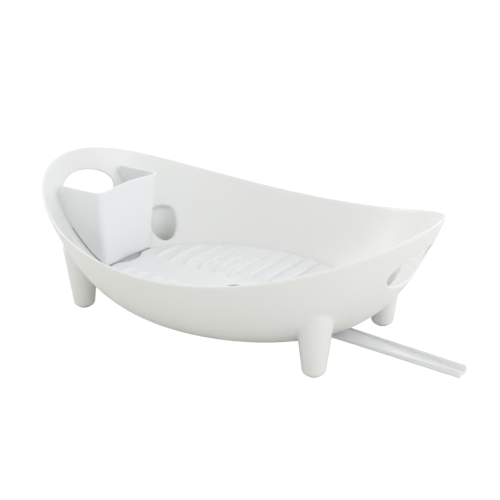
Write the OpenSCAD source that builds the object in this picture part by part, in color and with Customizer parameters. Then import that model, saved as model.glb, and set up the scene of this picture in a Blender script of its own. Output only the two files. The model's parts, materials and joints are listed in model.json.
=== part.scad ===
// Countertop dish drying rack: an oval tub on four hollow legs, a ribbed drainer insert,
// a cutlery cup at one end and a swivelling drain spout under the floor.
// Origin: the middle of the overall length and width, at the height of the counter.
// +X runs towards the spout's outlet. Every module is drawn about the drain's axis and then placed.

/* [Tub] */
// Half length that the wall would reach at full height
tub_half_length = 249.5; // [235:0.5:260]
// Half width that the wall would reach at full height
tub_half_width = 187.5; // [178:0.5:195]
// Thickness of the tub's wall
wall = 3; // [2.4:0.1:3.6]
// Height of the flat underside above the counter
floor_height = 22; // [21.5:0.1:23]
// Height of the rim at the middle of the long sides
rim_side_height = 102; // [92:1:108]
// Rise of the rim from the sides to the ends
rim_end_rise = 60; // [45:1:66]
// How much higher the rim is at the cup's end than at the middle
rim_lean = 2; // [0:0.5:3]

/* [Hand holes] */
// Half width of each hand hole
hand_half_width = 43; // [36:1:46]
// Half height of each hand hole
hand_half_height = 20.5; // [16:0.5:22]
// Height of the hand holes' centre, before the lean
hand_height = 111.5; // [108:0.5:113]

/* [Legs] */
// Distance from the drain to the legs at the cup's end
leg_x_cup = 162; // [156:1:164]
// Distance from the drain to the legs at the spout's end
leg_x_spout = 151; // [148:1:158]
// Distance from the middle plane to each leg
leg_y = 74.3; // [72:0.1:76]
// Radius of a leg at the counter
leg_foot_radius = 12.2; // [11.8:0.1:13]
// Growth of the leg's radius for each millimetre of height
leg_taper = 0.115; // [0.09:0.005:0.12]
// Thickness of a leg's wall
leg_wall = 2.6; // [2.4:0.1:3]
// Radius of the non-slip pads
pad_radius = 7.5; // [6:0.1:7.6]

/* [Drainer insert] */
// Height of the insert's top at its edge
insert_height = 38.4; // [37.8:0.1:38.8]
// Depth of the insert's dish at its middle
insert_dish = 4.6; // [3.5:0.1:4.8]
// Thickness of the insert
insert_wall = 2.2; // [1.8:0.1:2.4]
// Distance between two ribs
rib_pitch = 22; // [20:0.5:24]
// Width of a rib
rib_width = 9; // [7:0.5:11]
// Half width of the plain channel between the two groups of ribs
channel_half_width = 18; // [15:0.5:22]

/* [Cutlery cup] */
// Height of the cup's rim
cup_height = 133; // [126:1:134]
// Half width of the cup at its rim
cup_half_width = 53; // [50:0.5:54]
// Thickness of the cup's wall
cup_wall = 2.2; // [1.8:0.1:2.6]

/* [Drain spout] */
// Distance from the drain axis to the outlet
spout_length = 280; // [260:1:290]
// Half width of the spout at its outlet
spout_end_half_width = 8.5; // [7:0.5:9.5]
// Height of the underside of the spout's outlet above the counter
spout_outlet_height = 3.2; // [2.6:0.1:3.6]

/* [Hidden] */
$fn = 96;

// The tub's outside is an oval bowl: height = bowl_base + bowl_rise * reach ^ bowl_power, where reach
// is 0 at the drain and 1 at the full half length or half width. Near the drain it levels out.
bowl_base = 10.7;
bowl_rise = 170;
bowl_power = 4.8;
floor_softness = 1;
profile_steps = 22;
mould_top = 192;
fit_gap = 0.8;

// Rim curve
rim_bow = 53;
rim_steps = 40;

// Drain and the neck that turns in it
bore_radius = 12;
neck_radius = 11.94;
neck_bore = 9.5;
collar_radius = 18;
collar_height = 2.6;
seal_height = 0.8;
turn_gap = 0.3;

// Legs
leg_base = 0.8;
leg_top = 81;
leg_shoulder = 9;
leg_edge = 5;
leg_sole = 4;
pad_depth = 1.6;
leg_places = [[-leg_x_cup, -leg_y], [-leg_x_cup, leg_y], [leg_x_spout, -leg_y], [leg_x_spout, leg_y]];

// Insert
rib_top = insert_height + 1.6;
rib_count_each_way = 6;
insert_hole_radius = 11;
insert_end_x = -155;
notch_radius = 34;
notch_depth = 8;

// Cup
cup_bottom = 38;
cup_front_top_x = -150;
cup_front_bottom_x = -155.5;
cup_bottom_half_width = 42;
cup_back_x = -260;
cup_back_bottom_half_width = 66;
cup_corner_radius = 8;
cup_foot_radius = 6;
cup_back_opening = 94;
cup_back_corner_x = -205;
cup_floor_height = cup_bottom + cup_wall + 0.8;
cup_back_height = 86;
cup_slot_length = 8;
cup_slot_width = 3;
cup_slot_pitch = 15;

// Spout: heights of its top edge and underside at the hub, at the bend and at the outlet
spout_hub_radius = 21;
spout_wall = 1.6;
spout_top = floor_height - 0.5;
spout_end_top = 12;
spout_bend_x = 130;
spout_hub_bottom = 14.2;
spout_bend_bottom = 13.4;
neck_top = floor_height + wall + turn_gap + seal_height + collar_height;

// Height of the bowl's outside where its reach is r
function bowl_height(r) =
    floor_height + floor_softness * ln(1 + exp((bowl_base + bowl_rise * pow(r, bowl_power) - floor_height)
    / floor_softness));

// Reach of the bowl at height z, on the steep part of the wall
function bowl_reach(z) = pow((z - bowl_base) / bowl_rise, 1 / bowl_power);

// Height of the rim at a distance x from the middle
function rim_height(x) =
    let (u = x / 250)
    rim_side_height + rim_bow * u * u + (rim_end_rise - rim_bow) * pow(u, 4) - rim_lean * u;

// Distance from the drain to the tub's tip at the cup's end: where the wall meets the rim curve
function tip_reach(x, tries) = tries == 0 ? x : tip_reach(tub_half_length * bowl_reach(rim_height(-x)), tries - 1);
tub_end_reach = tip_reach(240, 12);

// Radius of a leg at height z
function leg_radius(z) = leg_foot_radius + leg_taper * z;

// Points of the bowl's profile, closer together where the wall turns up
function bowl_profile(half, lift) =
    [for (i = [0 : profile_steps]) let (r = 1.01 * pow(i / profile_steps, 0.6)) [half * r, bowl_height(r) + lift]];

// The solid that fills the bowl, drawn in by inset and lifted by lift
module bowl(inset, lift) {
    half = tub_half_length - inset;
    scale([1, (tub_half_width - inset) / half, 1])
        rotate_extrude()
            polygon(concat([[0, mould_top]], bowl_profile(half, lift), [[half * 1.01, mould_top]]));
}

// The space inside the tub, with a gap to its wall
module tub_space(gap) {
    bowl(0.7 * wall + gap, wall + gap);
}

// Everything above the rim
module above_rim() {
    rotate([90, 0, 0])
        linear_extrude(height = 500, center = true)
            polygon(concat(
                [for (i = [0 : rim_steps]) let (x = -260 + 520 * i / rim_steps) [x, rim_height(x)]],
                [[260, 220], [-260, 220]]));
}

// A tapered round leg, drawn in by inset, from height low up to height high
module leg_form(inset, low, high) {
    edge = leg_edge - inset / 2;
    shoulder = leg_shoulder - inset;
    foot = leg_radius(low) - inset;
    head = leg_radius(high) - inset;
    rotate_extrude()
        polygon(concat(
            [[0, low]],
            [for (a = [-90 : 18 : 0]) [foot - edge + edge * cos(a), low + edge + edge * sin(a)]],
            [for (a = [0 : 15 : 75]) [head - shoulder + shoulder * cos(a), high - shoulder + shoulder * sin(a)]],
            [[head - shoulder, high], [0, high]]));
}

// Its children at each of the four legs
module at_legs() {
    for (p = leg_places)
        translate([p[0], p[1], 0])
            children();
}

// An oval hole through the end wall on one side
module hand_hole(side) {
    translate([side * (tub_half_length - 30), 0, hand_height - side * 2.5])
        rotate([0, 90, 0])
            scale([1, hand_half_width / hand_half_height, 1])
                cylinder(h = 80, r = hand_half_height, center = true);
}

module tub() {
    color("#f1f2ef")
        difference() {
            union() {
                bowl(0, 0);
                at_legs() leg_form(0, leg_base, leg_top);
            }
            tub_space(0);
            at_legs() leg_form(leg_wall, leg_base + leg_sole, leg_top - leg_wall);
            at_legs() cylinder(h = 2 * (leg_base + pad_depth), r = pad_radius, center = true);
            above_rim();
            for (side = [-1, 1]) hand_hole(side);
            translate([0, 0, floor_height - 2]) cylinder(h = wall + 4, r = bore_radius);
        }
}

// A flat-topped bar with round ends, along Y
module rib(length) {
    linear_extrude(height = rib_top - insert_height + insert_dish + 1) {
        translate([-rib_width / 2, 0]) square([rib_width, length]);
        circle(d = rib_width);
        translate([0, length]) circle(d = rib_width);
    }
}

// Half length and half width of the insert, which clears the wall at the height of its underside
insert_reach = bowl_reach(insert_height - insert_wall - wall);
insert_half_length = tub_half_length * insert_reach - 0.7 * wall - fit_gap;
insert_side = tub_half_width * insert_reach - 0.7 * wall - fit_gap;

// Half width of the insert at a distance x from the middle
function insert_half_width(x) = insert_side * sqrt(1 - pow(x / insert_half_length, 2));

// The insert's dish, with its top lowered by drop
module dish(drop) {
    a = insert_half_length;
    b = insert_side;
    base = insert_height - drop;
    scale([1, b / a, 1])
        rotate_extrude($fn = 180)
            polygon(concat(
                [for (i = [0 : 8]) let (s = i / 8) [a * s, base - insert_dish * (1 - s * s)]],
                [[a, base + 30], [0, base + 30]]));
}

module drainer_insert() {
    color("#f6f7f8")
    difference() {
        union() {
            difference() {
                dish(insert_wall);
                dish(0);
            }
            intersection() {
                dish(insert_wall / 2);
                for (i = [-rib_count_each_way : rib_count_each_way], side = [-1, 1]) {
                    x = i * rib_pitch;
                    reach = insert_half_width(x) - channel_half_width - 12;
                    translate([x, side > 0 ? channel_half_width + 4 : -channel_half_width - 4 - reach,
                        insert_height - insert_dish - 1])
                        rib(reach);
                }
            }
        }
        translate([0, 0, insert_height - 12]) cylinder(h = 24, r = insert_hole_radius);
        translate([insert_end_x - 40, -100, insert_height - 12]) cube([40, 200, 24]);
        translate([insert_end_x + notch_depth - notch_radius, 0, insert_height - 12])
            cylinder(h = 24, r = notch_radius);
    }
}

// The cup's tapered block, drawn in by inset; its sides spread towards the back of its foot
module cup_block(inset) {
    slice = 0.1;
    hull() {
        for (side = [-1, 1]) {
            translate([cup_front_bottom_x - inset - cup_foot_radius,
                side * (cup_bottom_half_width - inset - cup_foot_radius), cup_bottom])
                cylinder(h = slice, r = cup_foot_radius, $fn = 32);
            translate([cup_front_top_x - inset - cup_corner_radius,
                side * (cup_half_width - inset - cup_corner_radius), cup_height - slice])
                cylinder(h = slice, r = cup_corner_radius, $fn = 32);
        }
        translate([cup_back_x, inset - cup_back_bottom_half_width, cup_bottom])
            cube([1, 2 * (cup_back_bottom_half_width - inset), slice]);
        translate([cup_back_x, inset - cup_half_width, cup_height - slice])
            cube([1, 2 * (cup_half_width - inset), slice]);
    }
}

// The space inside the cup
module cup_hollow() {
    intersection() {
        cup_block(cup_wall);
        tub_space(fit_gap + cup_wall);
        translate([cup_back_x, -100, cup_floor_height]) cube([200, 200, 200]);
    }
}

// What is cut away to round the top back corners of the cup's sides
module cup_back_corners() {
    translate([cup_back_corner_x, 0, cup_height - cup_corner_radius])
        difference() {
            translate([-30, -80, 0]) cube([30, 160, 30]);
            rotate([90, 0, 0]) cylinder(h = 200, r = cup_corner_radius, center = true);
        }
}

module cutlery_cup() {
    color("#f3f4f3")
        difference() {
            intersection() {
                cup_block(0);
                tub_space(fit_gap);
            }
            cup_hollow();
            cup_back_corners();
            translate([cup_back_x, -cup_back_opening / 2, cup_back_height])
                cube([cup_front_top_x - cup_back_x - 38, cup_back_opening, 100]);
            for (i = [-1 : 1])
                translate([cup_front_bottom_x - 5.5, i * cup_slot_pitch - cup_slot_length / 2, cup_bottom - 1])
                    cube([cup_slot_width, cup_slot_length, 6]);
        }
}

// Plan of the spout: a round hub that narrows to the outlet
module spout_plan(inset) {
    circle(r = spout_hub_radius - inset);
    polygon([
        [0, inset - spout_hub_radius],
        [spout_length, inset - spout_end_half_width],
        [spout_length, spout_end_half_width - inset],
        [0, spout_hub_radius - inset]]);
}

// The spout seen from the side, cut off flat or open at the outlet, with its underside raised by lift
module spout_side(lift, spare) {
    rotate([90, 0, 0])
        linear_extrude(height = 60, center = true)
            polygon([
                [-30, spout_hub_bottom + lift],
                [spout_bend_x, spout_bend_bottom + lift],
                [spout_length + spare, spout_outlet_height + lift],
                [spout_length + spare, spout_end_top + 2 * spare],
                [-30, spout_top + 2 * spare]]);
}

// The trough: a plan and a side view crossed, less the same forms drawn in
module trough() {
    difference() {
        intersection() {
            linear_extrude(height = 30) spout_plan(0);
            spout_side(0, 0);
        }
        intersection() {
            linear_extrude(height = 30)
                union() {
                    spout_plan(spout_wall);
                    translate([spout_length - 2, spout_wall - spout_end_half_width])
                        square([4, 2 * (spout_end_half_width - spout_wall)]);
                }
            spout_side(spout_wall, 3);
        }
    }
}

module drain_spout() {
    color("#eff0ed")
        difference() {
            union() {
                trough();
                translate([0, 0, spout_top - 2]) cylinder(h = 2, r = spout_hub_radius);
                translate([0, 0, spout_top - 2]) cylinder(h = neck_top - spout_top + 2, r = neck_radius);
            }
            translate([0, 0, spout_hub_bottom + spout_wall + 0.1]) cylinder(h = 20, r = neck_bore);
        }
}

// Flat ring round the neck
module ring(low, tall, outer, inner) {
    translate([0, 0, low])
        difference() {
            cylinder(h = tall, r = outer);
            translate([0, 0, -1]) cylinder(h = tall + 2, r = inner);
        }
}

module drain_collar() {
    low = floor_height + wall + turn_gap + seal_height;
    color("#eceeee") ring(low, collar_height, collar_radius, neck_radius);
}

module outlet_seal() {
    color("#5b5e60") ring(floor_height + wall + turn_gap, seal_height, collar_radius - 1, neck_radius);
}

module foot_pad(place) {
    color("#d9d9d4") translate([place[0], place[1], 0]) cylinder(h = leg_base + pad_depth, r = pad_radius);
}

// Puts a piece into the frame whose origin is the middle of the overall length
module placed() {
    translate([(tub_end_reach - spout_length) / 2, 0, 0])
        children();
}

placed() tub();
placed() drainer_insert();
placed() cutlery_cup();
placed() drain_spout();
placed() drain_collar();
placed() outlet_seal();
placed() foot_pad(leg_places[0]);  // foot_pad_1
placed() foot_pad(leg_places[1]);  // foot_pad_2
placed() foot_pad(leg_places[2]);  // foot_pad_3
placed() foot_pad(leg_places[3]);  // foot_pad_4
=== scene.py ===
import json
import math

import bmesh
import bpy
import numpy as np
from mathutils import Matrix, Vector


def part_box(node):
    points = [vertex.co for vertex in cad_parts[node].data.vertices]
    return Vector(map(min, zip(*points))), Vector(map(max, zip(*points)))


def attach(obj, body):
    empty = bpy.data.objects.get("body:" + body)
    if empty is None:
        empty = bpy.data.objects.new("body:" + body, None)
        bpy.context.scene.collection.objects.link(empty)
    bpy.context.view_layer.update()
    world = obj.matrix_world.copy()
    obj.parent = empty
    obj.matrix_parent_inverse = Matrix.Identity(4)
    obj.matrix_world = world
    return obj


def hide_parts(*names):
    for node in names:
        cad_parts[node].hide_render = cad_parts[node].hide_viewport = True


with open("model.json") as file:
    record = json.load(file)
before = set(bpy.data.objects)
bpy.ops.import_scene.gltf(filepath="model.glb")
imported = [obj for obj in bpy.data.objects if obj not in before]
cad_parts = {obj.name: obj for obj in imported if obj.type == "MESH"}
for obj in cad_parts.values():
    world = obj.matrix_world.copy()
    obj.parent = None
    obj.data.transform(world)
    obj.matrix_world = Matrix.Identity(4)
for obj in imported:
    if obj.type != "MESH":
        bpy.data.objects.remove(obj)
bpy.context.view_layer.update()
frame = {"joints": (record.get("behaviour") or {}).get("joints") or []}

# All shapes are worked out in millimetres about the drain's axis, and placed in metres.
MM = 0.001
DRAIN_X = next(j for j in frame["joints"] if j["name"] == "spout_swivel")["pos_m"][0] / MM


# ---------------------------------------------------------------- meshes

class Sheet:
    """A surface of quads, later thickened into a closed wall with round edges."""

    def __init__(self):
        self.points = []
        self.faces = []

    def add(self, points):
        """Adds points and returns their numbers, in the same arrangement."""
        points = np.asarray(points, float)
        first = len(self.points)
        self.points.extend(points.reshape(-1, 3).tolist())
        return np.arange(first, len(self.points)).reshape(points.shape[:-1])

    def quads(self, grid, wrap=False, keep=None):
        """Faces over a grid of point numbers; keep marks the cells that are wanted."""
        a = grid[:-1]
        b = grid[1:]
        if wrap:
            a = np.concatenate([a, a[:, :1]], axis=1)
            b = np.concatenate([b, b[:, :1]], axis=1)
        cells = np.stack([a[:, :-1], a[:, 1:], b[:, 1:], b[:, :-1]], axis=-1)
        if keep is not None:
            cells = cells[keep]
        self.faces.extend(cells.reshape(-1, 4).tolist())

    def fan(self, ring, centre):
        """Closes a ring of points at a centre."""
        middle = int(self.add([centre])[0])
        for i in range(len(ring)):
            self.faces.append([int(ring[i]), int(ring[(i + 1) % len(ring)]), middle])


def face_arrays(faces):
    """The faces as one array of quads, with triangles' last corner doubled."""
    return np.array([f if len(f) == 4 else f + [f[2]] for f in faces])


def vertex_normals(points, quads):
    """Area-weighted unit normals."""
    p = points[quads]
    n = np.cross(p[:, 2] - p[:, 0], p[:, 3] - p[:, 1])
    out = np.zeros_like(points)
    for k in range(4):
        np.add.at(out, quads[:, k], n)
    return out / np.maximum(np.linalg.norm(out, axis=1, keepdims=True), 1e-12)


def boundary_loops(quads):
    """Loops of edges that only one face has, in the faces' own direction."""
    edges = {}
    for q in quads.tolist():
        for a, b in zip(q, q[1:] + q[:1]):
            if a != b:
                edges[(a, b)] = True
    ahead = {a: b for a, b in edges if (b, a) not in edges}
    loops = []
    while ahead:
        start = next(iter(ahead))
        loop = [start]
        step = ahead.pop(start)
        while step != start:
            loop.append(step)
            step = ahead.pop(step)
        loops.append(loop)
    return loops


def thicken(sheet, front, back, steps=6):
    """Points and faces of a closed wall: front and back are the distances to the two sides."""
    points = np.array(sheet.points)
    quads = face_arrays(sheet.faces)
    normals = vertex_normals(points, quads)
    count = len(points)
    front = np.broadcast_to(np.asarray(front, float), (count,))[:, None]
    back = np.broadcast_to(np.asarray(back, float), (count,))[:, None]
    rows = [points + normals * front, points - normals * back]
    faces = [list(f) for f in sheet.faces]
    faces += [[i + count for i in reversed(f)] for f in sheet.faces]
    total = 2 * count
    for loop in boundary_loops(quads):
        at = np.array(loop)
        p = points[at]
        n = normals[at]
        tangent = np.roll(p, -1, axis=0) - np.roll(p, 1, axis=0)
        tangent /= np.maximum(np.linalg.norm(tangent, axis=1, keepdims=True), 1e-12)
        away = np.cross(tangent, n)
        away /= np.maximum(np.linalg.norm(away, axis=1, keepdims=True), 1e-12)
        radius = (front[at] + back[at]) / 2
        middle = p + n * (front[at] - back[at]) / 2
        rings = [at]
        for k in range(1, steps):
            turn = math.pi * k / steps
            rows.append(middle + radius * (math.cos(turn) * n + math.sin(turn) * away))
            rings.append(np.arange(total, total + len(at)))
            total += len(at)
        rings.append(at + count)
        for a, b in zip(rings[:-1], rings[1:]):
            for i in range(len(at)):
                j = (i + 1) % len(at)
                faces.append([int(a[j]), int(a[i]), int(b[i]), int(b[j])])
    return np.concatenate(rows), faces


def lathe(profile, steps=96):
    """Points and faces of a solid turned about the Z axis.

    A profile that starts on the axis ends there too, and any other is closed.
    """
    sheet = Sheet()
    turns = np.linspace(0, 2 * math.pi, steps, endpoint=False)
    solid = profile[0][0] == 0
    body = profile[1:-1] if solid else profile
    rows = [[(r * math.cos(t), r * math.sin(t), z) for t in turns] for r, z in body]
    grid = sheet.add(rows)
    if solid:
        sheet.quads(grid, wrap=True)
        sheet.fan(grid[0], (0, 0, profile[0][1]))
        sheet.fan(grid[-1], (0, 0, profile[-1][1]))
    else:
        sheet.quads(np.concatenate([grid, grid[:1]]), wrap=True)
    return np.array(sheet.points), sheet.faces


def around(turns):
    """Unit vectors in plan, one for each direction."""
    return np.stack([np.cos(turns), np.sin(turns)], axis=-1)


def bezier(a, b, c, t):
    """Point of a curve from a to c, bent towards b."""
    return (1 - t) ** 2 * a + 2 * t * (1 - t) * b + t ** 2 * c


def soft_max(values, softness):
    """The largest of the values, with the change from one to another rounded."""
    return softness * np.log(np.sum(np.exp(np.array(values) / softness), axis=0))


def ring_block(grid, i0, i1, j0, j1):
    """Point numbers round a block of a grid (rows j, columns i).

    They run anticlockwise, seen with j up and i to the right.
    """
    cols = grid.shape[1]
    low = [grid[j0, i % cols] for i in range(i0, i1)]
    right = [grid[j, i1 % cols] for j in range(j0, j1)]
    high = [grid[j1, i % cols] for i in range(i1, i0, -1)]
    left = [grid[j, i0 % cols] for j in range(j1, j0, -1)]
    return np.array(low + right + high + left)


def free_block(grid, keep, inside):
    """Clears the cells among the grid points that are inside, and returns the block's border."""
    found = np.argwhere(inside)
    j0, i0 = found.min(axis=0)
    j1, i1 = found.max(axis=0)
    keep[j0:j1, i0:i1] = False
    return ring_block(grid, i0, i1, j0, j1)


def piece(name, points, faces, body, slot, node, material):
    """A smooth mesh object that replaces a CAD node and rides on its body."""
    placed = (np.asarray(points) + [DRAIN_X, 0, 0]) * MM
    mesh = bpy.data.meshes.new(name)
    mesh.from_pydata(placed.tolist(), [], [list(map(int, f)) for f in faces])
    mesh.validate()
    shape = bmesh.new()
    shape.from_mesh(mesh)
    bmesh.ops.recalc_face_normals(shape, faces=shape.faces)
    shape.to_mesh(mesh)
    shape.free()
    mesh.polygons.foreach_set("use_smooth", [True] * len(mesh.polygons))
    mesh.update()
    mesh.materials.append(material)
    made = bpy.data.objects.new(name, mesh)
    bpy.context.scene.collection.objects.link(made)
    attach(made, body)
    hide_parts(node)


# ---------------------------------------------------------------- tub

# The bowl, as in the CAD model: height = BASE + RISE * reach ** POWER, with a flat floor
HALF_LENGTH = 249.5
HALF_WIDTH = 187.5
WALL = 3.0
BASE = 10.7
RISE = 170.0
POWER = 4.8
FLOOR = 22.0
SOFTNESS = 1.0
DRAIN_RADIUS = 12.0

# The rim's curve along the tub
RIM_REACH = 250.0
RIM_MIDDLE = 102.0
RIM_SWEEP = 53.0
RIM_CURL = 7.0
RIM_TILT = 2.0

# The hand holes
HAND_HALF_WIDTH = 43.0
HAND_HALF_HEIGHT = 20.5
HAND_HEIGHT = 111.5
HAND_LEAN = 2.5

# The legs, each a tapered tube with a round shoulder and a recess for its pad
LEG_WALL = 2.6
LEG_FOOT_RADIUS = 11.5
LEG_TAPER = 0.124
LEG_TOP = 81.0
LEG_SHOULDER = 9.0
LEG_EDGE = 7.0
LEG_BLEND = 3.8
SOLE_HEIGHT = 0.8
RECESS_EDGE = ((0.3, 0.15), (0.7, 0.7), (1.1, 1.3), (1.7, 1.6), (3.0, 1.65), (5.2, 1.65))

# The wall's cells, the rings of its patches and legs, and its length per radian at the patches
TUB_COLUMNS = 288
TUB_ROWS = 60
BLOCK_MARGIN = 2
PATCH_RINGS = 5
BLEND_RINGS = 5
LEG_RINGS = 24
LOOP_STEPS = 720
HAND_REACH = 200.0
LEG_REACH = 190.0


def rim_height(x):
    """Height of the tub's rim at a distance x from the middle."""
    u = x / RIM_REACH
    return RIM_MIDDLE + RIM_SWEEP * u ** 2 + RIM_CURL * u ** 4 - RIM_TILT * u


class Bowl:
    """The tub's wall, drawn in by inset and lifted by lift.

    Places on it are (angle, arc along the profile).
    """

    def __init__(self, inset, lift):
        self.a = HALF_LENGTH - inset
        self.b = HALF_WIDTH - inset
        self.base = BASE + lift
        self.floor = FLOOR + lift
        reach = np.linspace(0, 1.05, 4001)
        height = self.height(reach)
        radius = reach * (self.a + self.b) / 2
        self.reaches = reach
        self.arcs = profile_run(radius, height)

    def height(self, reach):
        """Height of the wall at a share of the way from the middle to the ends."""
        rise = self.base + RISE * np.power(reach, POWER)
        return self.floor + SOFTNESS * np.logaddexp(0, (rise - self.floor) / SOFTNESS)

    def arc(self, reach):
        """Length along the profile at a reach."""
        return np.interp(reach, self.reaches, self.arcs)

    def above(self, x, y, z):
        """How far a point is above the wall, which is negative outside the tub."""
        return z - self.height(np.hypot(x / self.a, y / self.b))

    def place(self, x, y):
        """(angle, arc) of the point of the wall that has this plan position."""
        return np.arctan2(y / self.b, x / self.a), self.arc(np.hypot(x / self.a, y / self.b))

    def point(self, angle, arc):
        """The point at a place on the wall."""
        reach = np.interp(arc, self.arcs, self.reaches)
        return np.stack([self.a * reach * np.cos(angle), self.b * reach * np.sin(angle),
                         self.height(reach)], axis=-1)

    def rim_arc(self, angle, drop):
        """Arc at which the wall meets the rim's curve lowered by drop."""
        low = np.full_like(angle, 0.6)
        high = np.full_like(angle, 1.05)
        for _ in range(40):
            mid = (low + high) / 2
            under = self.height(mid) < rim_height(self.a * mid * np.cos(angle)) - drop
            low = np.where(under, mid, low)
            high = np.where(under, high, mid)
        return self.arc((low + high) / 2)


def profile_run(radius, height):
    """Length along a profile at each of its points."""
    return np.concatenate([[0], np.cumsum(np.hypot(np.diff(radius), np.diff(height)))])


def unwrap_to(angle, middle):
    """The same angle within half a turn of middle."""
    return middle + (angle - middle + math.pi) % (2 * math.pi) - math.pi


def fit_loop(places, centre, scale, loop_places, loop_values):
    """Values on a closed loop in the directions of the given places, seen from the centre."""
    def direction(p):
        d = p - centre
        return np.arctan2(d[:, 1], d[:, 0] * scale)
    want = direction(places)
    have = direction(loop_places)
    order = np.argsort(have)
    have = have[order]
    values = np.unwrap(loop_values[order])
    span = 2 * math.pi
    way = math.copysign(span, values[-1] - values[0])
    have = np.concatenate([have - span, have, have + span])
    values = np.concatenate([values - way, values, values + way])
    return np.interp(want, have, values)


class WallGrid:
    """The tub's wall as a grid of cells from the drain to the rim, which patches are let into."""

    def __init__(self, sheet, bowl):
        self.sheet = sheet
        self.bowl = bowl
        angles = np.linspace(0, 2 * math.pi, TUB_COLUMNS, endpoint=False)
        drain = (DRAIN_RADIUS + WALL / 2) * around(angles)
        drain_angle, self.drain_arc = bowl.place(drain[:, 0], drain[:, 1])
        self.rim_arc = bowl.rim_arc(angles, WALL / 2)
        steps = np.linspace(0, 1, TUB_ROWS + 1)
        blend = np.clip(steps * 5, 0, 1)[:, None]
        self.angle = unwrap_to(drain_angle, angles) * (1 - blend) + angles * blend
        self.arc = self.drain_arc + (self.rim_arc - self.drain_arc) * steps[:, None]
        self.grid = sheet.add(bowl.point(self.angle, self.arc))
        self.keep = np.ones((TUB_ROWS, TUB_COLUMNS), bool)

    def between(self, column, values):
        """The columns' values at places between the columns."""
        closed = np.append(values, values[0])
        return np.interp(np.mod(column, TUB_COLUMNS), np.arange(TUB_COLUMNS + 1), closed)

    def free(self, middle, loop):
        """Clears the cells round a loop of places; returns their border and the border's places."""
        column = unwrap_to(loop[:, 0], middle) / (2 * math.pi) * TUB_COLUMNS
        start = self.between(column, self.drain_arc)
        end = self.between(column, self.rim_arc)
        row = (loop[:, 1] - start) / (end - start) * TUB_ROWS
        i0 = int(math.floor(column.min())) - BLOCK_MARGIN
        i1 = int(math.ceil(column.max())) + BLOCK_MARGIN
        j0 = int(math.floor(row.min())) - BLOCK_MARGIN
        j1 = int(math.ceil(row.max())) + BLOCK_MARGIN
        for i in range(i0, i1):
            if not self.keep[j0:j1, i % TUB_COLUMNS].all():
                raise ValueError("two features of the tub's wall are too close")
            self.keep[j0:j1, i % TUB_COLUMNS] = False
        border = ring_block(self.grid, i0, i1, j0, j1)
        at = np.unravel_index(border, self.grid.shape)
        return border, np.stack([unwrap_to(self.angle[at], middle), self.arc[at]], axis=-1)

    def patch(self, edge, scale):
        """Joins the wall to a closed edge on it; returns the edge's point numbers and their turns."""
        dense = np.linspace(0, 2 * math.pi, LOOP_STEPS, endpoint=False)
        loop = edge(dense)
        centre = (loop.min(axis=0) + loop.max(axis=0)) / 2
        border, places = self.free(centre[0], loop)
        turns = fit_loop(places, centre, scale, loop, dense)
        target = edge(turns)
        rings = [border]
        for k in range(1, PATCH_RINGS + 1):
            t = k / PATCH_RINGS
            t = t * (1.25 - 0.25 * t)
            ring = places * (1 - t) + target * t
            rings.append(self.sheet.add(self.bowl.point(ring[:, 0], ring[:, 1])))
        self.sheet.quads(np.array(rings), wrap=True)
        return rings[-1], turns


def add_hand_hole(wall, side):
    """The hand hole at one end: an oval, seen along the tub."""
    bowl = wall.bowl
    middle_z = HAND_HEIGHT - side * HAND_LEAN
    middle_angle = 0 if side > 0 else math.pi

    def edge(turn):
        y = (HAND_HALF_WIDTH + WALL / 2) * np.cos(turn)
        z = middle_z + (HAND_HALF_HEIGHT + WALL / 2) * np.sin(turn)
        reach = np.power((z - bowl.base) / RISE, 1 / POWER)
        x = side * bowl.a * np.sqrt(reach ** 2 - (y / bowl.b) ** 2)
        angle, arc = bowl.place(x, y)
        return np.stack([unwrap_to(angle, middle_angle), arc], axis=-1)

    wall.patch(edge, HAND_REACH)


def leg_profile(grow):
    """Outline of a leg's mid-surface, swollen by grow, from its side to its top's middle.

    It is given as radii and heights.
    """
    inset = LEG_WALL / 2 - grow
    shoulder = LEG_SHOULDER - inset
    top = LEG_TOP - inset
    head = LEG_FOOT_RADIUS + LEG_TAPER * LEG_TOP - inset
    side_z = np.linspace(LEG_EDGE, top - shoulder, 120)
    side_r = np.interp(side_z, [0, LEG_TOP], [LEG_FOOT_RADIUS - inset, head])
    turns = np.linspace(0, math.pi / 2, 60)[1:]
    arc_r = side_r[-1] - shoulder + shoulder * np.cos(turns)
    arc_z = top - shoulder + shoulder * np.sin(turns)
    flat_r = np.linspace(arc_r[-1], 0, 20)[1:]
    return (np.concatenate([side_r, arc_r, flat_r]),
            np.concatenate([side_z, arc_z, np.full_like(flat_r, top)]))


def leg_meeting(bowl, cx, cy, turns, grow):
    """Length along a swollen leg's profile at which it meets the wall, in each direction."""
    radius, height = leg_profile(grow)
    run = profile_run(radius, height)
    x = cx + radius[:, None] * np.cos(turns)
    y = cy + radius[:, None] * np.sin(turns)
    gap = bowl.above(x, y, height[:, None])
    first = np.argmax(gap > 0, axis=0)
    pick = np.arange(len(turns))
    g0 = gap[first - 1, pick]
    g1 = gap[first, pick]
    return run[first - 1] + (run[first] - run[first - 1]) * g0 / (g0 - g1)


def leg_points(cx, cy, turns, along, grow):
    """Points of a swollen leg at the given lengths along its profile."""
    radius, height = leg_profile(grow)
    run = profile_run(radius, height)
    r = np.interp(along, run, radius)
    z = np.interp(along, run, height)
    return np.stack([cx + r * np.cos(turns), cy + r * np.sin(turns), z], axis=-1)


def foot_outline():
    """A leg's mid-surface from its side to the recess that holds the pad: (radius, height)."""
    half = LEG_WALL / 2
    radius = LEG_FOOT_RADIUS + LEG_TAPER * LEG_EDGE - half
    sole = SOLE_HEIGHT + half
    edge = LEG_EDGE - sole
    outline = [(radius - edge + edge * math.cos(t), LEG_EDGE - edge * math.sin(t))
               for t in np.linspace(0, math.pi / 2, 8)[1:]]
    return outline + [(radius - edge - step, sole + rise) for step, rise in RECESS_EDGE]


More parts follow.
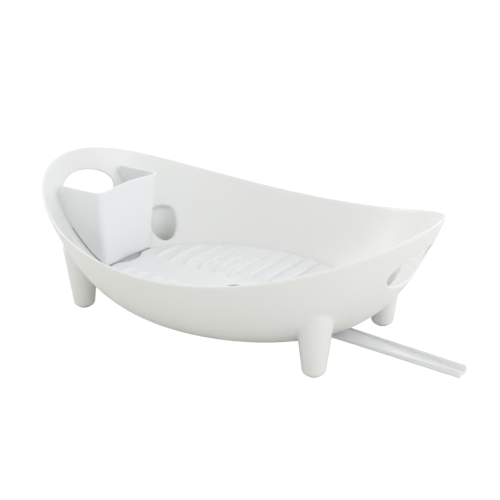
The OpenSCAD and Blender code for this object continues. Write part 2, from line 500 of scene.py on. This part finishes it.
def add_leg(wall, cx, cy):
    """A leg about a vertical axis, from its blend with the wall down to its pad's recess."""
    sheet = wall.sheet
    bowl = wall.bowl
    middle_angle = float(bowl.place(cx, cy)[0])

    def edge(turn):
        p = leg_points(cx, cy, turn, leg_meeting(bowl, cx, cy, turn, LEG_BLEND), LEG_BLEND)
        angle, arc = bowl.place(p[:, 0], p[:, 1])
        return np.stack([unwrap_to(angle, middle_angle), arc], axis=-1)

    ring, turns = wall.patch(edge, LEG_REACH)
    meeting = leg_meeting(bowl, cx, cy, turns, 0.0)
    start = np.array(sheet.points)[ring]
    corner = leg_points(cx, cy, turns, meeting, 0.0)
    end = leg_points(cx, cy, turns, meeting - LEG_BLEND, 0.0)
    rings = [ring]
    for k in range(1, BLEND_RINGS + 1):
        rings.append(sheet.add(bezier(start, corner, end, k / BLEND_RINGS)))
    for k in range(1, LEG_RINGS + 1):
        along = (meeting - LEG_BLEND) * (1 - k / LEG_RINGS)
        rings.append(sheet.add(leg_points(cx, cy, turns, along, 0.0)))
    for r, z in foot_outline():
        flat = r * around(turns) + [cx, cy]
        rings.append(sheet.add(np.column_stack([flat, np.full_like(turns, z)])))
    sheet.quads(np.array(rings), wrap=True)
    sheet.fan(rings[-1], (cx, cy, z))


def tub_mesh():
    """The wall with its drain hole, two hand holes and four legs, each over its pad."""
    sheet = Sheet()
    wall = WallGrid(sheet, Bowl(0.35 * WALL, WALL / 2))
    for side in (-1, 1):
        add_hand_hole(wall, side)
    for number in range(1, 5):
        low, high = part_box(f"foot_pad_{number}")
        add_leg(wall, (low.x + high.x) / 2 / MM - DRAIN_X, (low.y + high.y) / 2 / MM)
    sheet.quads(wall.grid, wrap=True, keep=wall.keep)
    return thicken(sheet, WALL / 2, WALL / 2)


# ---------------------------------------------------------------- drainer insert

INSERT_HEIGHT = 38.4
INSERT_DISH = 4.6
INSERT_WALL = 2.2
INSERT_HOLE = 11.0
INSERT_CORNER = 0.955

# Its end by the cup is cut across, with a round notch in the middle; beyond the notch's radius its depth
# is held at NOTCH_LEAST
INSERT_CUT = 155.0
CUT_BLEND = 0.7
NOTCH_RADIUS = 34.0
NOTCH_DEPTH = 8.0
NOTCH_LEAST = 3.0

# The ribs: RIB_FLAT and RIB_FLANK are shares of a rib's radius
CHANNEL = 18.0
RIBS_EACH_WAY = 6
RIB_PITCH = 22.0
RIB_RADIUS = 4.5
RIB_TOP = 40.0
RIB_MARGIN = 1.5
RIB_START = 20.0
RIB_LEAD = 3.0
RIB_FLAT = 0.4
RIB_FLANK = 0.65
RIB_CROWN = 0.06

# The grid's columns, by their distance from a rib's middle, and its rows, by theirs from the channel's
FLANK_COLUMNS = (0, 1.1, 1.8, 2.3, 2.8, 3.3, 3.8, 4.3, 4.8, 6.2, 8.4, 11)
LAST_FLANK = 4.8
STRAIGHT = RIBS_EACH_WAY * RIB_PITCH + LAST_FLANK
CHANNEL_ROWS = (0, 3, 6, 9, 12.2, 15, 17, 18, 18.8, 19.6, 20.4, 21.4, 22.5, 24.5, 27, 30)
OUTER_ROWS = 33
END_COLUMNS = 12
EDGE_PULL = 6
HOLE_BLOCK = 16.5
HOLE_RINGS = (0.35, 0.65, 0.85, 1.0)


def insert_axes():
    """Half length and half width of the insert about the drain, from its CAD box."""
    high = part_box("drainer_insert")[1]
    return high.x / MM - DRAIN_X, high.y / MM


def insert_top(x, y, a, b):
    """Height of the insert's dished top between the ribs."""
    return INSERT_HEIGHT - INSERT_DISH * (1 - (x / a) ** 2 - (y / b) ** 2)


def rib_rise(x, y, a, b):
    """Height of the ribs above the dish: rounded bars along Y on both sides of the channel."""
    rise = np.zeros_like(x)
    for i in range(-RIBS_EACH_WAY, RIBS_EACH_WAY + 1):
        middle = i * RIB_PITCH
        outer = b * math.sqrt(1 - (middle / a) ** 2) - RIB_MARGIN - RIB_RADIUS
        inner = CHANNEL + RIB_RADIUS * RIB_LEAD
        beyond = np.maximum((inner - np.abs(y)) / RIB_LEAD, np.abs(y) - outer)
        away = np.hypot(x - middle, np.maximum(beyond, 0)) / RIB_RADIUS
        ramp = np.clip((away - RIB_FLAT) / RIB_FLANK, 0, 1)
        crown = 1 - RIB_CROWN * np.clip(away, 0, 1) ** 2
        start = np.clip((np.abs(y) - CHANNEL) / RIB_START, 0, 1)
        height = (RIB_TOP - insert_top(x, y, a, b)) * crown * np.sin(math.pi / 2 * start)
        rise = np.maximum(rise, height * (1 - ramp * ramp * (3 - 2 * ramp)))
    return rise


def insert_columns():
    """Places of the grid's straight columns, closer together on the ribs' flanks."""
    places = set()
    for i in range(-RIBS_EACH_WAY, RIBS_EACH_WAY + 1):
        for step in FLANK_COLUMNS:
            places.add(round(i * RIB_PITCH + step, 3))
            places.add(round(i * RIB_PITCH - step, 3))
    return sorted(x for x in places if abs(x) <= STRAIGHT)


def insert_column(x, half_width):
    """Plan points of a straight column, closer together at the channel's edges."""
    last = CHANNEL_ROWS[-1]
    outer = last + (half_width - last) * np.linspace(0, 1, OUTER_ROWS + 1)[1:]
    up = np.concatenate([CHANNEL_ROWS, outer])
    rows = np.concatenate([-up[:0:-1], up])
    return np.stack([np.full_like(rows, x), rows], axis=-1)


def cut_across(x, y, inset):
    """The oval's end cut off by the straight line and the notch."""
    centre = INSERT_CUT - NOTCH_DEPTH + NOTCH_RADIUS
    notch = centre - np.sqrt(np.maximum(NOTCH_RADIUS ** 2 - y ** 2, NOTCH_LEAST ** 2))
    return -soft_max([-x, np.full_like(x, inset - INSERT_CUT), inset - notch], CUT_BLEND)


def end_columns(a, b, inset, side):
    """Columns that bend from the last straight one to the insert's end."""
    split = math.acos(STRAIGHT / a)
    corner = math.acos(INSERT_CORNER)
    chord = insert_column(side * STRAIGHT, b * math.sin(split))
    v = chord[:, 1] / chord[-1, 1]
    y = b * math.sin(corner) * v
    x = a * np.sqrt(1 - (y / b) ** 2)
    if side < 0:
        x = cut_across(x, y, inset)
    end = np.stack([side * x, y], axis=-1)
    made = []
    for t in np.linspace(0, 1, END_COLUMNS + 1)[1:]:
        p = chord * (1 - t) + end * t
        angle = split * (1 - t) + corner * t
        for sign, tip in ((-1, 0), (1, -1)):
            exact = np.array([side * a * math.cos(angle), sign * b * math.sin(angle)])
            reach = np.clip(sign * v, 0, 1)[:, None] ** EDGE_PULL
            p = p + (exact - p[tip]) * reach
        made.append(p)
    return made


def insert_mesh():
    """The oval dish with its ribs and the round hole over the drain."""
    outer_a, outer_b = insert_axes()
    half = INSERT_WALL / 2
    a = outer_a - half
    b = outer_b - half
    middle = [insert_column(x, b * math.sqrt(1 - (x / a) ** 2)) for x in insert_columns()]
    plan = np.array(end_columns(a, b, half, -1)[::-1] + middle + end_columns(a, b, half, 1))
    sheet = Sheet()

    def lift(p):
        z = insert_top(p[..., 0], p[..., 1], outer_a, outer_b) - half
        return np.concatenate([p, z[..., None]], axis=-1)

    grid = sheet.add(lift(plan)).T
    keep = np.ones((grid.shape[0] - 1, grid.shape[1] - 1), bool)
    near = np.abs(plan.transpose(1, 0, 2)).max(axis=-1) < HOLE_BLOCK
    border = free_block(grid, keep, near)
    edge = np.array(sheet.points)[border][:, :2]
    hole = (INSERT_HOLE + half) * around(np.arctan2(edge[:, 1], edge[:, 0]))
    rings = [border]
    for t in HOLE_RINGS:
        rings.append(sheet.add(lift(edge * (1 - t) + hole * t)))
    sheet.quads(np.array(rings), wrap=True)
    sheet.quads(grid, keep=keep)
    points = np.array(sheet.points)
    rise = rib_rise(points[:, 0], points[:, 1], outer_a, outer_b)
    return thicken(sheet, half + rise, half)


# ---------------------------------------------------------------- cutlery cup

CUP_BOTTOM = 38.0
CUP_HEIGHT = 133.0
CUP_TALL = CUP_HEIGHT - CUP_BOTTOM
CUP_WALL = 2.2
CUP_GAP = 0.5

# The front leans outwards; the back wall is low, and the sides' top back corners are rounded
CUP_FRONT = -155.5
CUP_FRONT_LEAN = 6.5
CUP_BACK = 86.0
CUP_ARCH = 2.4
CUP_ARCH_HALF_WIDTH = 50.0
CUP_CORNER_TOP = 8.0

# Half widths at the front, and how the sides spread and lean
CUP_LOW_HALF_WIDTH = 40.5
CUP_SPREAD = 0.244
CUP_LEAN = 0.136
CUP_TOP_HALF_WIDTH = 54.0
CUP_TOP_SPREAD = 12.0
CUP_SIDE_BLEND = 0.8

# Roundings in plan and under the foot
CUP_CORNER = 5.5
CUP_BACK_CORNER = 0.5
CUP_FOOT_CORNER = 1.4
QUARTER_ROUND = 0.5523

# Three slots through the floor
SLOT_PITCH = 15.0
SLOT_BEHIND_FRONT = 4.0
SLOT_HALF_SIZE = np.array([1.5, 4.0])
SLOT_BLOCK = np.array([3.2, 5.8])
SLOT_SQUARENESS = 6

# Cells round the outline; its front part, up to CUP_FRONT_END, stands higher than the back wall
SIDE_CELLS = 12
CORNER_CELLS = 8
FRONT_CELLS = 24
BACK_POINTS = 35
CUP_FRONT_END = 2 * SIDE_CELLS + 2 * CORNER_CELLS + FRONT_CELLS
CUP_LEVELS = 48
CUP_ROWS = 18

# The cup's back wall follows the tub's
CUP_BED = Bowl(0.7 * WALL + CUP_GAP + CUP_WALL / 2, WALL + CUP_GAP + CUP_WALL / 2)


def cup_side(x, z, inset):
    """Half width of the cup: its sides lean outwards going up, and spread towards its foot's back."""
    low = CUP_LOW_HALF_WIDTH + CUP_SPREAD * (CUP_FRONT - x) + CUP_LEAN * (z - CUP_BOTTOM)
    high = np.full_like(low, CUP_TOP_HALF_WIDTH + CUP_TOP_SPREAD * (CUP_HEIGHT - z) / CUP_TALL)
    return -soft_max([-low, -high], CUP_SIDE_BLEND) - inset


def cup_back_x(y, z):
    """Where the cup's back wall is."""
    reach = ((z - CUP_BED.base) / RISE) ** (1 / POWER)
    return -CUP_BED.a * math.sqrt(reach ** 2 - (y / CUP_BED.b) ** 2)


def cup_back_corner(z, inset):
    """Where the cup's side meets its back wall, found by going from one to the other."""
    y = CUP_TOP_HALF_WIDTH
    for _ in range(20):
        x = cup_back_x(y, z)
        y = float(cup_side(x, z, inset))
    return x, y


def quarter_round(start, corner, end, cells):
    """Points of a rounded corner, after its start."""
    u = np.linspace(0, 1, cells + 1)[1:, None]
    c1 = start + QUARTER_ROUND * (corner - start)
    c2 = end + QUARTER_ROUND * (corner - end)
    return (1 - u) ** 3 * start + 3 * u * (1 - u) ** 2 * c1 + 3 * u * u * (1 - u) * c2 + u ** 3 * end


def cup_outline(z, inset):
    """Closed outline of the cup's mid-surface at height z.

    It runs along a side, round the front, along the other side and along the back.
    """
    front_x = CUP_FRONT + CUP_FRONT_LEAN * (z - CUP_BOTTOM) / CUP_TALL - inset
    back_x, back_y = cup_back_corner(z, inset)
    fillet = min(CUP_BACK_CORNER, 0.3 * abs(front_x - back_x))
    radius = min(CUP_CORNER - inset / 2, 0.6 * abs(front_x - back_x))

    def side_at(x):
        return np.stack([x, -cup_side(x, z, inset)], axis=-1)

    start, stop, tip = side_at(np.array([back_x + fillet, front_x - radius, front_x]))
    front_start = tip + [0, radius]
    spread = np.linspace(0, 1, SIDE_CELLS + 1) ** 1.35
    side = side_at(start[0] + (stop[0] - start[0]) * spread)
    half = np.concatenate([side, quarter_round(stop, tip, front_start, CORNER_CELLS)])
    front_y = np.linspace(front_start[1], -front_start[1], FRONT_CELLS + 1)[1:-1]
    front = np.stack([np.full_like(front_y, front_x), front_y], axis=-1)
    sweep = np.linspace(back_y - fillet, fillet - back_y, BACK_POINTS)
    wall = np.array([[cup_back_x(y, z), y] for y in sweep])
    knee = np.array([back_x, -back_y])
    bend = bezier(wall[-1], knee, start, np.linspace(0, 1, 4)[1:-1, None])
    return np.concatenate([half, front, half[::-1] * [1, -1], (bend * [1, -1])[::-1], wall, bend])


def at_heights(levels, outlines, heights):
    """The outline's points, each at its own height."""
    out = np.empty((len(heights), 3))
    for i, z in enumerate(heights):
        out[i, 0] = np.interp(z, levels, outlines[:, i, 0])
        out[i, 1] = np.interp(z, levels, outlines[:, i, 1])
    out[:, 2] = heights
    return out


def cup_top(rim):
    """Height of the sides' and the front's free edge, arched in front and rounded off behind."""
    top = np.full(len(rim), CUP_HEIGHT - CUP_WALL / 2)
    for i in range(CUP_FRONT_END + 1):
        behind = min(np.linalg.norm(rim[i] - rim[0]), np.linalg.norm(rim[i] - rim[CUP_FRONT_END]))
        short = max(0.0, CUP_CORNER_TOP - behind)
        top[i] -= CUP_CORNER_TOP - math.sqrt(CUP_CORNER_TOP ** 2 - short ** 2)
        if SIDE_CELLS < i < CUP_FRONT_END - SIDE_CELLS:
            across = min(1.0, abs(rim[i, 1]) / CUP_ARCH_HALF_WIDTH)
            top[i] += CUP_ARCH * math.cos(math.pi / 2 * across) ** 2
    return top


def add_cup_walls(sheet):
    """The walls from the foot's rounding to the free edges; returns the lowest outline's points."""
    half = CUP_WALL / 2
    foot = CUP_BOTTOM + half
    back = CUP_BACK - half
    levels = np.linspace(foot + CUP_FOOT_CORNER, CUP_HEIGHT + 3, CUP_LEVELS)
    outlines = np.array([cup_outline(z, half) for z in levels])
    total = outlines.shape[1]
    rows = []
    for turn in np.linspace(0, math.pi / 2, 5)[:-1]:
        z = foot + CUP_FOOT_CORNER * (1 - math.cos(turn))
        flat = cup_outline(z, half + CUP_FOOT_CORNER * (1 - math.sin(turn)))
        rows.append(np.column_stack([flat, np.full(total, z)]))
    for z in np.linspace(foot + CUP_FOOT_CORNER, back, CUP_ROWS + 1):
        rows.append(at_heights(levels, outlines, np.full(total, z)))
    grid = sheet.add(rows)
    sheet.quads(grid, wrap=True)
    top = cup_top(outlines[-2])
    upper = [grid[-1][:CUP_FRONT_END + 1]]
    for k in range(1, CUP_ROWS + 1):
        heights = back + (top - back) * k / CUP_ROWS
        upper.append(sheet.add(at_heights(levels, outlines, heights)[:CUP_FRONT_END + 1]))
    sheet.quads(np.array(upper))
    return grid[0]


def add_cup_slot(sheet, floor, keep, spots, y):
    """A drainage slot with round corners, in a block of the floor's cells."""
    half = CUP_WALL / 2
    centre = np.array([CUP_FRONT - SLOT_BEHIND_FRONT, y])
    near = (np.abs(spots[..., :2] - centre) < SLOT_BLOCK).all(axis=-1)
    border = free_block(floor, keep, near)
    away = np.array(sheet.points)[border][:, :2] - centre
    ways = around(np.arctan2(away[:, 1], away[:, 0]))
    shares = np.abs(ways / (SLOT_HALF_SIZE + half)) ** SLOT_SQUARENESS
    slot = centre + ways / np.power(shares.sum(axis=-1), 1 / SLOT_SQUARENESS)[:, None]
    ring = sheet.add(np.column_stack([slot, np.full(len(slot), CUP_BOTTOM + half)]))
    sheet.quads(np.array([ring, border]), wrap=True)


def add_cup_floor(sheet, base):
    """The floor: a patch between the front half of the lowest outline and its back half."""
    front = base[SIDE_CELLS:CUP_FRONT_END - SIDE_CELLS + 1]
    left = base[CUP_FRONT_END - SIDE_CELLS:CUP_FRONT_END + 1]
    back = np.append(base[CUP_FRONT_END:], base[0])[::-1]
    right = base[:SIDE_CELLS + 1][::-1]
    points = np.array(sheet.points)
    depth = points[right[0], 0] - points[right, 0]
    rows = [front]
    for k in range(1, SIDE_CELLS):
        t = depth[k] / depth[-1]
        inner = points[front] * (1 - t) + points[back] * t
        rows.append(np.concatenate([[right[k]], sheet.add(inner[1:-1]), [left[k]]]))
    rows.append(back)
    floor = np.array(rows)
    keep = np.ones((floor.shape[0] - 1, floor.shape[1] - 1), bool)
    spots = np.array(sheet.points)[floor]
    for i in (-1, 0, 1):
        add_cup_slot(sheet, floor, keep, spots, i * SLOT_PITCH)
    sheet.quads(floor[::-1], keep=keep[::-1])


def cup_mesh():
    """The cup, with its walls and its slotted floor."""
    sheet = Sheet()
    base = add_cup_walls(sheet)
    add_cup_floor(sheet, base)
    return thicken(sheet, CUP_WALL / 2, CUP_WALL / 2)


# ---------------------------------------------------------------- drain spout

SPOUT_WALL = 1.6
SPOUT_HUB = 21.0
SPOUT_END = 8.5
SPOUT_CORNER = 2.2
SPOUT_CORNER_SHARE = 0.75

# Heights of its edge and of its underside, from the hub's back to the tip
SPOUT_START = -30.0
SPOUT_TOP = 21.5
SPOUT_END_TOP = 12.0
SPOUT_UNDER = ((SPOUT_START, 14.2), (118.0, 13.45), (130.0, 13.1), (142.0, 12.5))
SPOUT_END_UNDER = 3.2
SPOUT_CELLS = 80
HUB_CELLS = 32

# The neck, on a lid that closes the hub
NECK_RADIUS = 11.94
NECK_BORE = 9.5
NECK_EDGE = 0.5
NECK_FILLET = 0.6
LID_GAP = 0.1
LID_LOW = SPOUT_TOP - 2.2
LID_HIGH = SPOUT_TOP - 0.4
LID_EDGE = 0.4
RING_CLEARANCE = 0.02


def spout_top(x, length):
    """Height of the trough's edge, in the middle of its wall."""
    share = (x - SPOUT_START) / (length - SPOUT_START)
    return SPOUT_TOP + (SPOUT_END_TOP - SPOUT_TOP) * share - SPOUT_WALL / 2


def spout_floor(x, length):
    """Height of the trough's floor, in the middle of its wall."""
    places = [place for place, height in SPOUT_UNDER] + [length]
    heights = [height for place, height in SPOUT_UNDER] + [SPOUT_END_UNDER]
    return np.interp(x, places, heights) + SPOUT_WALL / 2


def spout_plan(length):
    """The trough's edge in plan, from its tip round the hub and back, and its middle line."""
    half = SPOUT_WALL / 2
    xs = np.linspace(length - half, 0, SPOUT_CELLS + 1)
    widths = SPOUT_HUB + (SPOUT_END - SPOUT_HUB) * xs / length - half
    turns = np.linspace(-math.pi / 2, -3 * math.pi / 2, HUB_CELLS + 1)[1:-1]
    side = np.stack([xs, widths], axis=-1)
    edge = np.concatenate([side * [1, -1], (SPOUT_HUB - half) * around(turns), side[::-1]])
    return edge, side * [1, 0]


def spout_trough(length):
    """Points and faces of the open trough."""
    edge, line = spout_plan(length)
    inside = np.concatenate([line, np.zeros((HUB_CELLS - 1, 2)), line[::-1]])
    reach = np.linalg.norm(edge - inside, axis=1)
    away = (edge - inside) / reach[:, None]
    top = spout_top(edge[:, 0], length)
    floor = spout_floor(edge[:, 0], length)
    tall = top - floor
    radius = np.minimum(SPOUT_CORNER, SPOUT_CORNER_SHARE * tall)
    sheet = Sheet()
    rows = []

    def row(inwards, z):
        rows.append(sheet.add(np.column_stack([edge - away * np.reshape(inwards, (-1, 1)), z])))

    for k in range(4):
        row(0 * radius, top - (tall - radius) * k / 4)
    for turn in np.linspace(0, math.pi / 2, 6):
        row(radius * (1 - math.cos(turn)), floor + radius * (1 - math.sin(turn)))
    for k in range(1, 5):
        row(radius + (reach - radius) * k / 5, floor)
    sheet.quads(np.array(rows))
    centre = sheet.add(np.column_stack([line, spout_floor(line[:, 0], length)]))
    inner = rows[-1]
    sheet.quads(np.array([inner[:SPOUT_CELLS + 1], centre]))
    sheet.quads(np.array([inner[-SPOUT_CELLS - 1:], centre[::-1]]))
    for i in range(SPOUT_CELLS, len(inner) - SPOUT_CELLS - 1):
        sheet.faces.append([int(inner[i]), int(inner[i + 1]), int(centre[-1])])
    return thicken(sheet, SPOUT_WALL / 2, SPOUT_WALL / 2)


def neck_outline(top):
    """Closed outline of the lid and the neck that stands on it."""
    lid = SPOUT_HUB - SPOUT_WALL - LID_GAP
    under = [(NECK_BORE, LID_LOW), (lid - LID_EDGE, LID_LOW), (lid, LID_LOW + LID_EDGE)]
    over = [(lid, LID_HIGH - LID_EDGE), (lid - LID_EDGE, LID_HIGH), (NECK_RADIUS + NECK_FILLET, LID_HIGH)]
    neck = [(NECK_RADIUS, LID_HIGH + NECK_FILLET), (NECK_RADIUS, top - NECK_EDGE)]
    rim = [(NECK_RADIUS - NECK_EDGE, top), (NECK_BORE + NECK_EDGE, top), (NECK_BORE, top - NECK_EDGE)]
    return under + over + neck + rim


def spout_mesh():
    """The trough, with the lid and the neck in its hub."""
    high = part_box("drain_spout")[1]
    points, faces = spout_trough(high.x / MM - DRAIN_X)
    more, more_faces = lathe(neck_outline(high.z / MM))
    faces = faces + [[i + len(points) for i in f] for f in more_faces]
    return np.concatenate([points, more]), faces


def turned(node, bevel, inner=0.0):
    """A ring or a round pad with rounded edges, sized and placed from its CAD node."""
    low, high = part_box(node)
    outer = (high.x - low.x) / 2 / MM
    z0 = low.z / MM
    z1 = high.z / MM
    turns = np.linspace(0, math.pi / 2, 5)
    profile = [(outer - bevel + bevel * math.sin(t), z0 + bevel - bevel * math.cos(t)) for t in turns]
    profile += [(outer - bevel + bevel * math.cos(t), z1 - bevel + bevel * math.sin(t)) for t in turns]
    if inner:
        profile += [(inner + bevel, z1), (inner, z1 - bevel), (inner, z0 + bevel), (inner + bevel, z0)]
    else:
        profile = [(0, z0)] + profile + [(0, z1)]
    points, faces = lathe(profile)
    middle = [(high.x + low.x) / 2 / MM - DRAIN_X, (high.y + low.y) / 2 / MM, 0]
    return points + middle, faces


# ---------------------------------------------------------------- materials

def noise(tree, place, scale, detail):
    """A smooth random value."""
    made = tree.nodes.new("ShaderNodeTexNoise")
    made.inputs["Scale"].default_value = scale
    made.inputs["Detail"].default_value = detail
    tree.links.new(place, made.inputs["Vector"])
    return made.outputs["Fac"]


def ranged(tree, value, start, stop, low, high):
    """A value between start and stop, brought to between low and high."""
    made = tree.nodes.new("ShaderNodeMapRange")
    made.inputs["From Min"].default_value = start
    made.inputs["From Max"].default_value = stop
    made.inputs["To Min"].default_value = low
    made.inputs["To Max"].default_value = high
    tree.links.new(value, made.inputs["Value"])
    return made.outputs["Result"]


def bumped(tree, height, strength, distance):
    """A node whose normal follows a height."""
    made = tree.nodes.new("ShaderNodeBump")
    made.inputs["Strength"].default_value = strength
    made.inputs["Distance"].default_value = distance
    tree.links.new(height, made.inputs["Height"])
    return made


def plastic_gloss(tree, place, roughness):
    """Roughness that drifts a little and is lower on sharp edges, where hands polish them."""
    drift = ranged(tree, noise(tree, place, 38.0, 5.0), 0.0, 1.0, roughness - 0.025, roughness + 0.035)
    edges = tree.nodes.new("ShaderNodeNewGeometry").outputs["Pointiness"]
    polish = ranged(tree, edges, 0.5, 0.75, 0.0, 0.06)
    worn = tree.nodes.new("ShaderNodeMath")
    worn.operation = "SUBTRACT"
    tree.links.new(drift, worn.inputs[0])
    tree.links.new(polish, worn.inputs[1])
    return worn.outputs["Value"]


def plastic(name, colour, roughness, waver=0.05, grain=0.35, seed=0.0):
    """Moulded plastic or rubber: faint flow marks, a fine satin grain and slightly polished edges."""
    made = bpy.data.materials.new(name)
    made.use_nodes = True
    tree = made.node_tree
    shader = tree.nodes["Principled BSDF"]
    shader.inputs["IOR"].default_value = 1.49
    shader.inputs["Coat Weight"].default_value = 0.12
    shader.inputs["Coat Roughness"].default_value = 0.22
    shader.inputs["Subsurface Weight"].default_value = 0.06
    shader.inputs["Subsurface Radius"].default_value = (0.004, 0.0038, 0.0034)
    shift = tree.nodes.new("ShaderNodeMapping")
    shift.inputs["Location"].default_value = (seed, seed * 0.7, seed * 0.3)
    tree.links.new(tree.nodes.new("ShaderNodeTexCoord").outputs["Object"], shift.inputs["Vector"])
    place = shift.outputs["Vector"]

    tint = tree.nodes.new("ShaderNodeMix")
    tint.data_type = "RGBA"
    dim = [c * (1 - waver) for c in colour]
    tint.inputs["A"].default_value = (*dim, 1)
    tint.inputs["B"].default_value = (*colour, 1)
    tree.links.new(noise(tree, place, 9.0, 3.0), tint.inputs["Factor"])
    tree.links.new(tint.outputs["Result"], shader.inputs["Base Color"])
    tree.links.new(plastic_gloss(tree, place, roughness), shader.inputs["Roughness"])

    satin = bumped(tree, noise(tree, place, 1400.0, 2.0), grain, 0.00003)
    flow = bumped(tree, noise(tree, place, 22.0, 1.0), 0.12, 0.0004)
    tree.links.new(satin.outputs["Normal"], flow.inputs["Normal"])
    tree.links.new(flow.outputs["Normal"], shader.inputs["Normal"])
    return made


# ---------------------------------------------------------------- studio

# The camera's direction and roll in degrees, its distance in metres and its target in millimetres
CAMERA_AZIMUTH = 34.51
CAMERA_ELEVATION = 20.48
CAMERA_ROLL = -0.24
CAMERA_DISTANCE = 1.1376
CAMERA_TARGET = (16.66, 8.31, 80.56)
SENSOR = 36
FOCAL_SHARE = 2.04

WORLD_LIGHT = 0.86
WORLD_COLOUR = (1.0, 1.005, 0.985, 1)
BACKDROP_LIGHT = 1.05
FLOOR_COLOUR = (0.80, 0.80, 0.765, 1)
FLOOR_HALF = 9
LIGHT_AIM = (0, 0, 0.08)
LIGHTS = (
    ("right", (2.0, 0.1, 1.0), (1.2, 1.2), 9.6, (0.92, 0.94, 1.0)),
    ("left", (-2.0, 0.2, 1.0), (1.2, 1.2), 10.2, (1.0, 0.94, 0.97)),
    ("back", (-0.2, 2.0, 1.2), (1.6, 1.0), 6.0, (0.85, 0.9, 1.0)),
)


def add_camera():
    """The camera, FOCAL_SHARE times its sensor's width in focal length."""
    azimuth = math.radians(CAMERA_AZIMUTH)
    elevation = math.radians(CAMERA_ELEVATION)
    roll = math.radians(CAMERA_ROLL)
    x, y, z = CAMERA_TARGET
    target = Vector(((DRAIN_X + x) * MM, y * MM, z * MM))
    level = math.cos(elevation)
    back = Vector((math.sin(azimuth) * level, -math.cos(azimuth) * level, math.sin(elevation)))
    right = Vector((math.cos(azimuth), math.sin(azimuth), 0))
    up = back.cross(right)
    tilted_right = math.cos(roll) * right + math.sin(roll) * up
    tilted_up = -math.sin(roll) * right + math.cos(roll) * up
    lens = bpy.data.cameras.new("photo_camera")
    lens.sensor_width = SENSOR
    lens.lens = SENSOR * FOCAL_SHARE
    lens.clip_end = 20
    made = bpy.data.objects.new("photo_camera", lens)
    turn = Matrix((tilted_right, tilted_up, back)).transposed().to_4x4()
    made.matrix_world = Matrix.Translation(target + back * CAMERA_DISTANCE) @ turn
    bpy.context.scene.collection.objects.link(made)
    bpy.context.scene.camera = made


def add_light(name, place, size, power, colour):
    """A soft light that faces the object."""
    lamp = bpy.data.lights.new(name, "AREA")
    lamp.shape = "RECTANGLE"
    lamp.size = size[0]
    lamp.size_y = size[1]
    lamp.energy = power
    lamp.color = colour
    made = bpy.data.objects.new(name, lamp)
    made.location = place
    made.rotation_euler = (Vector(LIGHT_AIM) - Vector(place)).to_track_quat("-Z", "Y").to_euler()
    bpy.context.scene.collection.objects.link(made)


def seen_white(tree, lit, output):
    """Shows plain white to the camera, and the lit shader to everything else."""
    path = tree.nodes.new("ShaderNodeLightPath")
    kind = "ShaderNodeEmission" if output.type == "OUTPUT_MATERIAL" else "ShaderNodeBackground"
    white = tree.nodes.new(kind)
    white.inputs["Color"].default_value = (1, 1, 1, 1)
    white.inputs["Strength"].default_value = BACKDROP_LIGHT
    either = tree.nodes.new("ShaderNodeMixShader")
    tree.links.new(path.outputs["Is Camera Ray"], either.inputs[0])
    tree.links.new(lit, either.inputs[1])
    tree.links.new(white.outputs[0], either.inputs[2])
    tree.links.new(either.outputs[0], output.inputs["Surface"])


def add_world():
    """A pale sky all round."""
    made = bpy.data.worlds.new("studio")
    bpy.context.scene.world = made
    made.use_nodes = True
    sky = made.node_tree.nodes["Background"]
    sky.inputs["Color"].default_value = WORLD_COLOUR
    sky.inputs["Strength"].default_value = WORLD_LIGHT
    seen_white(made.node_tree, sky.outputs[0], made.node_tree.nodes["World Output"])


def add_floor():
    """A plain pale floor."""
    low = -FLOOR_HALF
    high = FLOOR_HALF
    mesh = bpy.data.meshes.new("floor")
    mesh.from_pydata([(low, low, 0), (high, low, 0), (high, high, 0), (low, high, 0)], [], [(0, 1, 2, 3)])
    made = bpy.data.objects.new("floor", mesh)
    bpy.context.scene.collection.objects.link(made)
    pale = bpy.data.materials.new("pale_floor")
    pale.use_nodes = True
    shader = pale.node_tree.nodes["Principled BSDF"]
    shader.inputs["Base Color"].default_value = FLOOR_COLOUR
    shader.inputs["Roughness"].default_value = 0.9
    seen_white(pale.node_tree, shader.outputs[0], pale.node_tree.nodes["Material Output"])
    mesh.materials.append(pale)


add_camera()
bpy.context.scene.view_settings.view_transform = "Standard"
add_world()
add_floor()
for light in LIGHTS:
    add_light(*light)

TUB_WHITE = plastic("tub_plastic", (0.865, 0.87, 0.86), 0.32)
INSERT_WHITE = plastic("insert_plastic", (0.87, 0.88, 0.89), 0.3, seed=3.0)
CUP_WHITE = plastic("cup_plastic", (0.885, 0.895, 0.905), 0.32, seed=5.0)
SPOUT_WHITE = plastic("spout_plastic", (0.90, 0.905, 0.915), 0.28, seed=7.0)
SEAL_RUBBER = plastic("seal_rubber", (0.33, 0.335, 0.34), 0.6, waver=0.2, grain=0.8, seed=9.0)
PAD_RUBBER = plastic("pad_rubber", (0.30, 0.30, 0.295), 0.65, waver=0.15, grain=0.8, seed=11.0)

collar = turned("drain_collar", 0.5, NECK_RADIUS + RING_CLEARANCE)
seal = turned("outlet_seal", 0.2, NECK_RADIUS + RING_CLEARANCE)
piece("tub_shell", *tub_mesh(), "root", "tub_plastic", "tub", TUB_WHITE)
piece("insert_shell", *insert_mesh(), "insert", "insert_plastic", "drainer_insert", INSERT_WHITE)
piece("cup_shell", *cup_mesh(), "cup", "cup_plastic", "cutlery_cup", CUP_WHITE)
piece("spout_shell", *spout_mesh(), "spout", "spout_plastic", "drain_spout", SPOUT_WHITE)
piece("collar_ring", *collar, "spout", "spout_plastic", "drain_collar", SPOUT_WHITE)
piece("seal_ring", *seal, "spout", "seal_rubber", "outlet_seal", SEAL_RUBBER)
for number in range(1, 5):
    pad = f"foot_pad_{number}"
    piece(f"pad_{number}", *turned(pad, 0.4), "root", "pad_rubber", pad, PAD_RUBBER)
